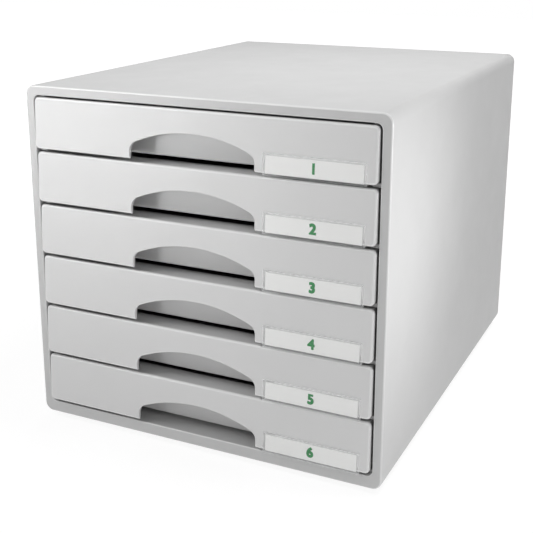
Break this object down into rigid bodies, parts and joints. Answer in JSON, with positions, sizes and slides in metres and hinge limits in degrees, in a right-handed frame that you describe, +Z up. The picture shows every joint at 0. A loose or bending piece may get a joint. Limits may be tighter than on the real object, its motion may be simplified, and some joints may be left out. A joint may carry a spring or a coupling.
{
  "type": "desk drawer unit",
  "caption": "Desktop drawer cabinet for A4 papers: a rounded light-grey plastic housing with full-width sliding drawers, arched finger cut-outs and clear label covers.",
  "frame": {"origin": "on the table, under the middle of the unit's overall width and depth", "axes": "+X to the right seen from the front, +Y towards the rear, +Z up; the drawers open along -Y"},
  "size_m": [0.287, 0.3612, 0.27],
  "materials": {
    "housing_plastic": "moulded light grey, fine satin grain",
    "drawer_plastic": "moulded light grey, fine satin grain",
    "clear_plastic": "clear, polished",
    "label_paper": "uncoated white card",
    "foot_rubber": "matt dark grey"
  },
  "bodies": {
    "housing": {"housing_shell": "housing_plastic", "rear_panel": "housing_plastic", "foot_front_left": "foot_rubber", "foot_front_right": "foot_rubber", "foot_rear_left": "foot_rubber", "foot_rear_right": "foot_rubber"},
    "drawer_1": {"drawer_tray_1": "drawer_plastic", "label_cover_1": "clear_plastic", "label_card_1": "label_paper"},
    "drawer_2": {"drawer_tray_2": "drawer_plastic", "label_cover_2": "clear_plastic", "label_card_2": "label_paper"},
    "drawer_3": {"drawer_tray_3": "drawer_plastic", "label_cover_3": "clear_plastic", "label_card_3": "label_paper"},
    "drawer_4": {"drawer_tray_4": "drawer_plastic", "label_cover_4": "clear_plastic", "label_card_4": "label_paper"},
    "drawer_5": {"drawer_tray_5": "drawer_plastic", "label_cover_5": "clear_plastic", "label_card_5": "label_paper"},
    "drawer_6": {"drawer_tray_6": "drawer_plastic", "label_cover_6": "clear_plastic", "label_card_6": "label_paper"}
  },
  "joints": [
    {"name": "drawer_1_slide", "type": "slide", "parent": "housing", "child": "drawer_1", "axis": [0, -1, 0], "range_m": [0, 0.27]},
    {"name": "drawer_2_slide", "type": "slide", "parent": "housing", "child": "drawer_2", "axis": [0, -1, 0], "range_m": [0, 0.27]},
    {"name": "drawer_3_slide", "type": "slide", "parent": "housing", "child": "drawer_3", "axis": [0, -1, 0], "range_m": [0, 0.27]},
    {"name": "drawer_4_slide", "type": "slide", "parent": "housing", "child": "drawer_4", "axis": [0, -1, 0], "range_m": [0, 0.27]},
    {"name": "drawer_5_slide", "type": "slide", "parent": "housing", "child": "drawer_5", "axis": [0, -1, 0], "range_m": [0, 0.27]},
    {"name": "drawer_6_slide", "type": "slide", "parent": "housing", "child": "drawer_6", "axis": [0, -1, 0], "range_m": [0, 0.27]}
  ]
}
